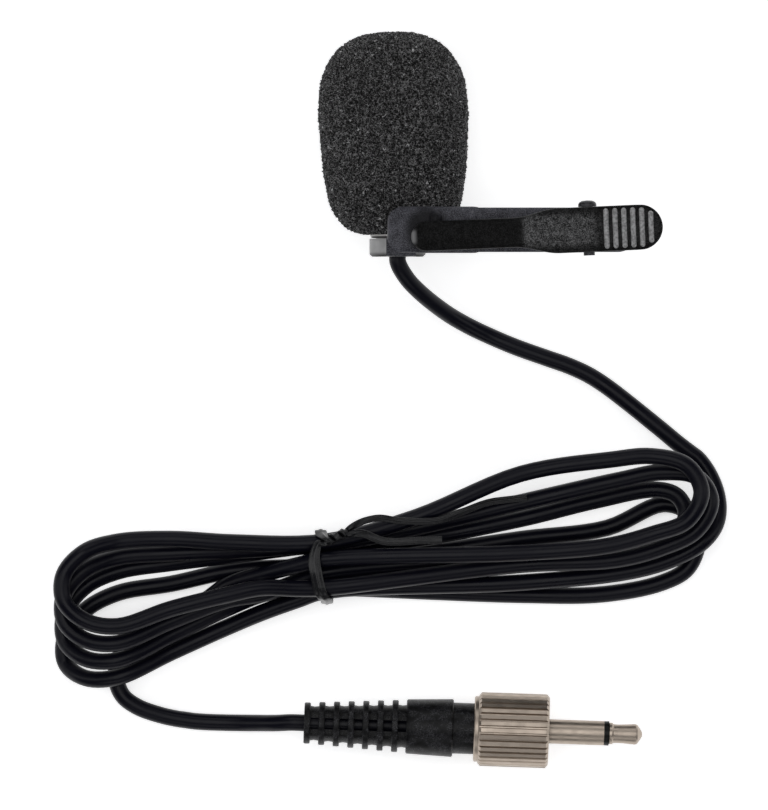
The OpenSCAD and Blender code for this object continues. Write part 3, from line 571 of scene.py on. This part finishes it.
# Width and thickness of the ribbon: along each end, in the knot, and round the waist
LONG_SIZE, SHORT_SIZE, KNOT_SIZE = (1.0, 0.45), (1.15, 0.45), (0.85, 0.55)
WAIST_WIDTHS, WAIST_THICK = (1.0, 1.4, 1.7), 0.4


def knot(k, side):
    """A station of one leg of the knot: place, direction across its thickness, width and thickness."""
    a = math.radians(KNOT_PHASE + 360 * KNOT_TURNS * k / KNOT_STEPS)
    out = Vector((0, math.cos(a), math.sin(a)))
    return KNOT_START + KNOT_RUN * (k / KNOT_STEPS) + KNOT_R * side * out, -out, *KNOT_SIZE


stations = [(Vector(p), FLAT, *LONG_SIZE) for p in TIE_LONG]
stations += [knot(k, 1) for k in range(KNOT_STEPS, -1, -1)]
for i, (x, y, z, a) in enumerate(TIE_TURNS):
    out = Vector((0, math.cos(math.radians(a)), math.sin(math.radians(a))))
    width = WAIST_WIDTHS[min(i, len(WAIST_WIDTHS) - 1)]
    stations.append((Vector((x, y, z)) + TIE_OFF * out, out, width, WAIST_THICK))
stations += [knot(k, -1) for k in range(KNOT_STEPS + 1)]
stations += [(Vector(p), FLAT, *SHORT_SIZE) for p in TIE_SHORT]
print("tie route of", len(stations), "stations")


# %% Ribbon section drawn along the route
RIBBON = [(1.0, 0.1), (0.9, 0.45), (0.66, 0.6), (0.4, 0.7), (0.26, 1.1), (0, 1.4), (-0.26, 1.1),
          (-0.4, 0.7), (-0.66, 0.6), (-0.9, 0.45), (-1.0, 0.1), (-1.0, -0.3), (-0.8, -0.75),
          (0.8, -0.75), (1.0, -0.3)]
RIBBON_STEPS = 4


def ribbon_rings(stations, steps):
    """Smooth places, directions and sizes, and at each the ribbon's section with its wire ridge."""
    places = smooth_through([s[0] for s in stations], steps)
    rows = [(s[1], Vector((s[2], s[3]))) for s in stations]
    shares = [k / steps for k in range(steps)]
    blends = [[a.lerp(b, share) for a, b in zip(one, two)]
              for one, two in zip(rows, rows[1:]) for share in shares] + [rows[-1]]
    rings = []
    for i, (place, (up, size)) in enumerate(zip(places, blends)):
        ahead = places[min(i + 1, len(places) - 1)] - places[max(i - 1, 0)]
        across = up.cross(ahead).normalized() * size.x / 2
        out = ahead.cross(across).normalized() * size.y / 2
        rings.append([place + across * x + out * y for x, y in RIBBON])
    return rings


tie_bm = bmesh.new()
drawn(tie_bm, ribbon_rings(stations, RIBBON_STEPS))
tie_finish = Finish("tie_pvc", (0.009, 0.009, 0.0105), 0.28, Specular_IOR_Level=0.35)
tie_finish.bump(tie_finish.noise(0.6), 0.03)
tie_finish.drift(0.2, 0.32, 2.5)
finished(tie_bm, "twist_tie_ribbon", Matrix.Translation(hank_place), tie_finish, "microphone",
         ["twist_tie"], sharp=50)

# %% [markdown]
# ## Plastics
# The jaw is moulded against a spark-eroded tool, which leaves a fine matte grain. Its ring is a paler
# grey with painted shade along its lower edge, and a painted shadow darkens the plate round the lever's
# tip. The lever's arm is satin; its thumb pad is coarser and painted paler as a painted highlight, and
# its tip and ribs are painted pale as painted highlights. Each is the same idea: fine noise as relief,
# larger noise as slow drift of the tone, and masks worked out from the place on the piece. The jaw's
# moulded edges are rounded by a small bevel.

# %% Jaw plastic
RING_FROM, RING_TO = 4.1, 4.6
# Band of painted shade along the ring's lower edge, where it rounds down out of the light
RING_EDGE_FROM, RING_EDGE_TO = 0.1, 0.75
# Centre and reach of the painted shadow on the plate round the lever's tip
SHADE_AT, SHADE_FROM, SHADE_TO = (4.2, 3.7), 2.2, 3.9

jaw_finish = Finish("jaw_plastic", (0.016, 0.016, 0.021), 0.42, Specular_IOR_Level=0.12)
from_mic = jaw_finish.vector("SUBTRACT", jaw_finish.place, tuple(at_mic.translation * MM))
on_ring = jaw_finish.away_mm(from_mic, (1, 0, 1)).between(RING_FROM, RING_TO, 1.0, 0.0)
jaw_grain = jaw_finish.noise(0.16)
jaw_drift = jaw_finish.noise(1.6, 3.0)
plate_tone = jaw_finish.mix(jaw_grain.between(0.35, 0.7) * 0.7 + jaw_drift.between(0.3, 0.7) * 0.3,
                            (0.014, 0.014, 0.018), (0.13, 0.13, 0.15))
ring_tone = jaw_finish.mix(jaw_drift, (0.31, 0.31, 0.31), (0.58, 0.58, 0.58))
# Painted shadow: the plate is painted nearly black round the lever's tip, where the tip's shade falls
from_shade = jaw_finish.vector("SUBTRACT", from_mic, (SHADE_AT[0] * MM, SHADE_AT[1] * MM, 0.0))
lit = jaw_finish.away_mm(from_shade, (1, 1, 0)).between(SHADE_FROM, SHADE_TO, 0.12, 1.0)
plate_tone = jaw_finish.mix(lit, (0.004, 0.004, 0.005), plate_tone)
# Painted shade: the ring's lower edge is painted dark where it rounds away from the light
above_edge = jaw_finish.axis(from_mic, "Y").between(RING_EDGE_FROM * MM, RING_EDGE_TO * MM)
ring_tone = jaw_finish.mix(above_edge, (0.05, 0.05, 0.05), ring_tone)
jaw_finish.colour(on_ring, plate_tone, ring_tone)
jaw_finish.bump(jaw_grain + jaw_drift * 0.6, 0.035)
wear(["rear_jaw"], jaw_finish)
eased("rear_jaw", 0.3)

# %% Lever plastic
PAD_STARTS, PAD_STOPS, PAD_SIDES = (-9.7 * MM, -8.6 * MM), (-0.5 * MM, 2.2 * MM), (1.5 * MM, 2.8 * MM)
# Where the painted highlight on the lever's tip fades out, along the lever and across it
TIP_HIGHLIGHT_STOPS = ((TIP_X - PIN.x + 0.25) * MM, (TIP_X - PIN.x + 1.0) * MM)
TIP_HIGHLIGHT_SIDES = (0.5 * MM, 1.3 * MM)

lever_finish = Finish("lever_plastic", (0.005, 0.005, 0.0052), 0.36, Specular_IOR_Level=0.04)
on_lever = lever_finish.node("ShaderNodeMapping", {"vector_type": "TEXTURE"}, {
    "Vector": lever_finish.place, "Location": tuple(at_pin.translation * MM),
    "Rotation": (0.0, 0.0, LEVER_SKEW)})
along, from_middle = lever_finish.axis(on_lever, "X"), abs(lever_finish.axis(on_lever, "Y"))
on_pad = (along.between(*PAD_STARTS) * along.between(*PAD_STOPS, 1.0, 0.15)
          * from_middle.between(*PAD_SIDES, 1.0, 0.12))
# Painted highlight: the tip is painted pale grey where light catches its rounded end
tip_highlight = along.between(*TIP_HIGHLIGHT_STOPS, 1.0, 0.0) * from_middle.between(*TIP_HIGHLIGHT_SIDES, 1.0, 0.0)
lever_grain = lever_finish.noise(0.17)
lever_blotch = lever_finish.noise(0.7, 3.0)
speckled = lever_grain.between(0.42, 0.68) * 0.75 + lever_blotch.between(0.35, 0.7) * 0.35
arm_tone = lever_finish.mix(speckled, (0.001, 0.001, 0.001), (0.017, 0.017, 0.0174))
# The pad is painted paler than the arm: a painted highlight for the light its slope catches, over its
# grain
pad_grain_and_highlight = lever_finish.mix(speckled, (0.01, 0.01, 0.0102), (0.17, 0.17, 0.172))
lever_finish.colour(tip_highlight, lever_finish.mix(on_pad, arm_tone, pad_grain_and_highlight), (0.22, 0.22, 0.222))
lever_finish.set(Roughness=on_pad * 0.2 + 0.33)
lever_finish.bump(lever_grain + lever_blotch * 0.5, 0.012)

# Painted highlight: the ribs are painted pale grey for the light their rounded edges catch
rib_finish = Finish("lever_ribs", (0.3, 0.3, 0.3), 0.45, Specular_IOR_Level=0.3)
rib_finish.colour(rib_finish.noise(0.35, 3.0).between(0.35, 0.65), (0.2, 0.2, 0.2), (0.42, 0.42, 0.425))
rib_finish.bump(rib_finish.noise(0.2), 0.012)
print("lever finishes:", lever_finish.material.name, "and", rib_finish.material.name)

# %% [markdown]
# ## Lever
# The lever is a thin moulded trough: a rounded tip, a plain arm, a flare and a thumb pad with a round
# end, hollow underneath, with a lug on each side for the pin and six ribs to press on. Its section
# changes all the way, so it is drawn through stations, closer together at the ends. The outer edge is
# rounded by drawing the same plan a little smaller at each height, and the rounding so runs round
# both ends as well.

# %% Plan and side of the lever
TIP_LEN, ARM_HALF = 2.2, 2.1
FLARE_START, FLARE_END = 16.4, 22.9
EDGE, EDGE_STEPS, CROWN, END_SLOPE = 0.5, 6, 0.05, 0.9
SHELL, FLANGE, FILLET, LEAST_DEEP = 0.8, 0.72, 0.3, 0.02
HOLLOW_START, HOLLOW_END, HOLLOW_RAMP = 4.2, 36.6, 0.4
SIDE_STEPS = 8
LEVER_TOP = [(1.9, 12.2), (2.5, 12.75), (4, 13.35), (8, 14), (17.8, 14.9), (27.2, 15.6), (29.5, 16),
             (34, 16.65), (37.86, 17.2)]
LEVER_LOW = [(1.9, 11.45), (4, 12.02), (5.2, 12.05), (8, 12.55), (17.8, 13.45), (27.2, 14.15),
             (34, 15.2), (37.86, 15.8)]


def fair(table):
    """The points of a side view joined by a smooth line."""
    return [(p.x, p.z) for p in smooth_through([Vector((x, 0, z)) for x, z in table], SIDE_STEPS)]


def height_at(line, x):
    """Height of a side view's line at x."""
    for (x0, z0), (x1, z1) in zip(line, line[1:]):
        if x <= x1:
            return z0 + (z1 - z0) * max(0.0, x - x0) / (x1 - x0)
    return line[-1][1]


def plan_half(x, inset=0.0):
    """Half width of the plan at x, drawn smaller by the inset all round."""
    if x < TIP_X + TIP_LEN:
        reach = (TIP_X + TIP_LEN - x) / (TIP_LEN - inset)
        return (ARM_HALF - inset) * math.sqrt(max(0.0, 1 - reach ** 2))
    if x > PAD_X:
        return math.sqrt(max(0.0, (PAD_HALF - inset) ** 2 - (x - PAD_X) ** 2))
    share = min(1.0, max(0.0, (x - FLARE_START) / (FLARE_END - FLARE_START)))
    return ARM_HALF + (PAD_HALF - ARM_HALF) * (1 - math.cos(math.pi * share)) / 2 - inset


top_line, low_line = fair(LEVER_TOP), fair(LEVER_LOW)
print("side of the lever:", len(top_line), "points above and", len(low_line), "below")


def lever_ring(x):
    """Section of the trough at x: outside from one lower edge to the other, then the inside."""
    top, low = height_at(top_line, x), height_at(low_line, x)
    room = min(EDGE, END_SLOPE * (x - TIP_X), END_SLOPE * (LEVER_END - x))
    last = math.acos(max(-1.0, 1 - room / EDGE))
    arc = []
    for k in range(EDGE_STEPS + 1):
        a = last * k / EDGE_STEPS
        arc.append((plan_half(x, EDGE * (1 - math.cos(a))), top - EDGE + EDGE * math.sin(a)))
    flat, high = arc[-1]
    crown = high + CROWN * min(1.0, flat)
    upper = [(-y, z) for y, z in arc] + [(-flat / 3, crown), (flat / 3, crown)] + arc[::-1]
    half = plan_half(x)
    inner = max(0.5 * half, half - FLANGE)
    hollow = (min(1.0, max(0.0, (x - HOLLOW_START) / HOLLOW_RAMP))
              * min(1.0, max(0.0, (HOLLOW_END - x) / HOLLOW_RAMP)))
    roof = low + LEAST_DEEP + hollow * (top - SHELL - low - LEAST_DEEP)
    soft = min(FILLET, (roof - low) / 2)
    under = [(half, low), (inner, low), (inner, roof - soft), (inner - soft, roof)]
    ring = upper + under + [(-y, z) for y, z in under[::-1]]
    return [Vector((x - PIN.x, y, z - PIN.z)) for y, z in ring]


# %% Lever with its lugs and ribs
END_STOPS = [0.004, 0.03, 0.09, 0.18, 0.3, 0.45, 0.65, 0.9, 1.2, 1.6, 2.0, 2.25, 2.5, 2.75]
ARM_START, ARM_STEP, ARM_STOPS = 4.9, 0.5, 59
LUG_R, LUG_IN, LUG_STEPS = 1.5, 2.45, 20
RIBS, RIB_R, RIB_START, RIB_PITCH = 6, 0.4, 29.55, 1.26
RIB_HALF, RIB_AHEAD, RIB_CLEAR, RIB_SUNK = 2.75, 0.3, 0.75, 0.08

lever_xs = ([TIP_X + d for d in END_STOPS] + [ARM_START + ARM_STEP * k for k in range(ARM_STOPS)]
            + [LEVER_END - d for d in END_STOPS[::-1]])
lever_bm = bmesh.new()
drawn(lever_bm, [lever_ring(x) for x in lever_xs])
lug = [Vector((LUG_R * math.cos(a), 0, LUG_R * math.sin(a)))
       for a in [math.pi + math.pi * k / LUG_STEPS for k in range(LUG_STEPS + 1)]]
lug += [Vector((LUG_R, 0, LUG_R)), Vector((-LUG_R, 0, LUG_R))]
for side in (-1, 1):
    drawn(lever_bm, [[p + Vector((0, side * y, 0)) for p in lug] for y in (LUG_IN, PAD_HALF)])
plain_faces = len(lever_bm.faces)
for i in range(RIBS):
    x = RIB_START + RIB_PITCH * i
    half = min(RIB_HALF, plan_half(x + RIB_AHEAD) - RIB_CLEAR)
    ends_on = Matrix.Translation((x - PIN.x, 0, height_at(top_line, x) - PIN.z - RIB_SUNK))
    rib = bmesh.ops.create_uvsphere(lever_bm, u_segments=20, v_segments=12, radius=RIB_R)["verts"]
    for v in rib:
        v.co.z += half * (1 if v.co.z > SAME_SPOT else -1 if v.co.z < -SAME_SPOT else 0)
    bmesh.ops.transform(lever_bm, matrix=ends_on @ Matrix.Rotation(math.pi / 2, 4, "X"), verts=rib)
lever_bm.faces.ensure_lookup_table()
for face in lever_bm.faces[plain_faces:]:
    face.material_index = 1
lever = finished(lever_bm, "lever", at_pin, lever_finish, "lever", ["front_lever"],
                 sharp=50)
lever.data.materials.append(rib_finish.material)

# %% [markdown]
# ## Metals
# The plug is satin nickel with a warm cast, which keeps a very shallow grain. The head is a dark
# anodised can. The gloss of each drifts slowly, as plating and handling leave it.

# %% Nickel, anodised head and small metal parts
nickel = Finish("nickel", (0.43, 0.365, 0.305), 0.3, Metallic=1.0)
nickel.drift(0.31, 0.44, 1.2, 3.0)
nickel.bump(nickel.noise(0.12), 0.0018)
wear(["jack_sleeve", "jack_tip", "nut_collar", "locking_nut", "sleeve_lug", "tip_lug"], nickel)

drifting("head_metal", (0.3, 0.295, 0.29), (0.32, 0.46, 1.0, 3.0), ["mic_housing", "grille_cap"],
         Metallic=0.9)
drifting("can_metal", (0.7, 0.7, 0.71), (0.25, 0.4, 0.8), ["capsule_can"], Metallic=1.0)
drifting("spring_steel", (0.4, 0.4, 0.41), (0.24, 0.4, 0.4), ["torsion_spring"], Metallic=1.0)
drifting("pin_metal", (0.03, 0.03, 0.033), (0.24, 0.4, 0.5), ["pivot_pin"], Metallic=0.6)

# %% [markdown]
# ## Strain relief and inner parts
# The strain relief and the plug's body are moulded PVC, finely grained and duller than the cable, and
# the rings' edges are rounded. The rest mostly hides inside the head and the plug, and shows only when
# a part is taken off.

# %% Boot PVC, rubber, board, felt and wires
boot_finish = Finish("boot_pvc", (0.0025, 0.0025, 0.0032), 0.4, Specular_IOR_Level=0.19)
boot_finish.drift(0.3, 0.42, 1.5, 3.0)
boot_grain = boot_finish.noise(0.16)
boot_sheen = boot_grain.between(0.4, 0.7) * boot_finish.noise(1.1).between(0.35, 0.65)
boot_finish.colour(boot_sheen, (0.001, 0.001, 0.0014), (0.05, 0.05, 0.056))
boot_finish.bump(boot_grain, 0.024)
wear(["strain_boot", "plug_body"], boot_finish)
eased("strain_boot", 0.15)

rubber = Finish("rubber", (0.02, 0.02, 0.021), 0.6)
rubber.bump(rubber.noise(0.2), 0.01)
wear(["cable_bush", "capsule_sleeve"], rubber)

drifting("insulator", (0.003, 0.003, 0.003), (0.32, 0.45, 0.6), ["jack_insulator"],
         Specular_IOR_Level=0.2)

felt = Finish("felt", (0.012, 0.012, 0.012), 0.95, Sheen_Weight=0.3)
felt.bump(felt.noise(0.12, 3.0), 0.05)
wear(["front_felt"], felt)

drifting("board", (0.02, 0.11, 0.045), (0.3, 0.5, 0.7), ["circuit_board"])
drifting("red_wire", (0.4, 0.02, 0.015), (0.3, 0.5, 0.6), ["signal_wire", "tip_wire"])

bare_wire = Finish("bare_wire", (0.72, 0.38, 0.2), 0.35, Metallic=1.0)
bare_wire.bump(bare_wire.noise(0.15), 0.02)
wear(["shield_wire"], bare_wire)

# %% [markdown]
# ## Cable facts
# The cable leaves the head at the end of its neck and runs without a break to its plug.

# %% The cable's start and route in metres
mic_x * MM
mic_y * MM
[list(p * MM) for p in line]

# %% [markdown]
# ## Table and light
# A pale floor that glows a little, as a light table does, one wide and dim light overhead and weak ones
# at the sides. A cord or a pin is a cylinder: its middle mirrors what is overhead, its flanks mirror
# what stands low at the sides, and its rims mirror the floor. So one broad light gives each strand a
# single soft highlight between dark flanks, and the bright floor draws its rims.

# %% Floor and lights
# Name, place in metres, width and height in metres, and watts
LAMPS = [("light_above", (-0.2, 0.15, 2.5), (1.8, 1.8), 16.0),
         ("light_top", (-0.05, 0.95, 0.7), (1.2, 0.5), 2.4),
         ("light_left", (-1.0, -0.05, 0.7), (0.5, 1.2), 2.4),
         ("light_right", (0.95, 0.0, 0.7), (0.5, 1.2), 2.0),
         ("light_low", (0.0, -1.0, 0.7), (1.2, 0.5), 1.8)]
LIT_PLACE = Vector((-0.01, -0.04, 0))
FLOOR_HALF, FLOOR_GLOW, ROOM_GLOW = 3.0, 0.62, 0.08

for name, place, size, watts in LAMPS:
    data = bpy.data.lights.new(name, "AREA")
    data.shape, data.size, data.size_y, data.energy = "RECTANGLE", size[0], size[1], watts
    lamp = bpy.data.objects.new(name, data)
    lamp.location = place
    lamp.rotation_euler = (LIT_PLACE - Vector(place)).to_track_quat("-Z", "Y").to_euler()
    bpy.context.scene.collection.objects.link(lamp)

floor_bm = bmesh.new()
bmesh.ops.create_grid(floor_bm, x_segments=1, y_segments=1, size=FLOOR_HALF)
floor_mesh = bpy.data.meshes.new("floor")
floor_bm.to_mesh(floor_mesh)
floor_bm.free()
floor = bpy.data.objects.new("floor", floor_mesh)
floor_finish = Finish("floor_paper", (0.95, 0.95, 0.95), 0.9, Specular_IOR_Level=0.1,
                      Emission_Color=(1, 1, 1, 1), Emission_Strength=FLOOR_GLOW)
floor_mesh.materials.append(floor_finish.material)
bpy.context.scene.collection.objects.link(floor)

scene = bpy.context.scene
world = bpy.data.worlds.new("dim_room")
world.use_nodes = True
world.node_tree.nodes["Background"].inputs["Color"].default_value = (0.9, 0.93, 1.0, 1)
world.node_tree.nodes["Background"].inputs["Strength"].default_value = ROOM_GLOW
scene.world = world
scene.view_settings.view_transform = "Standard"
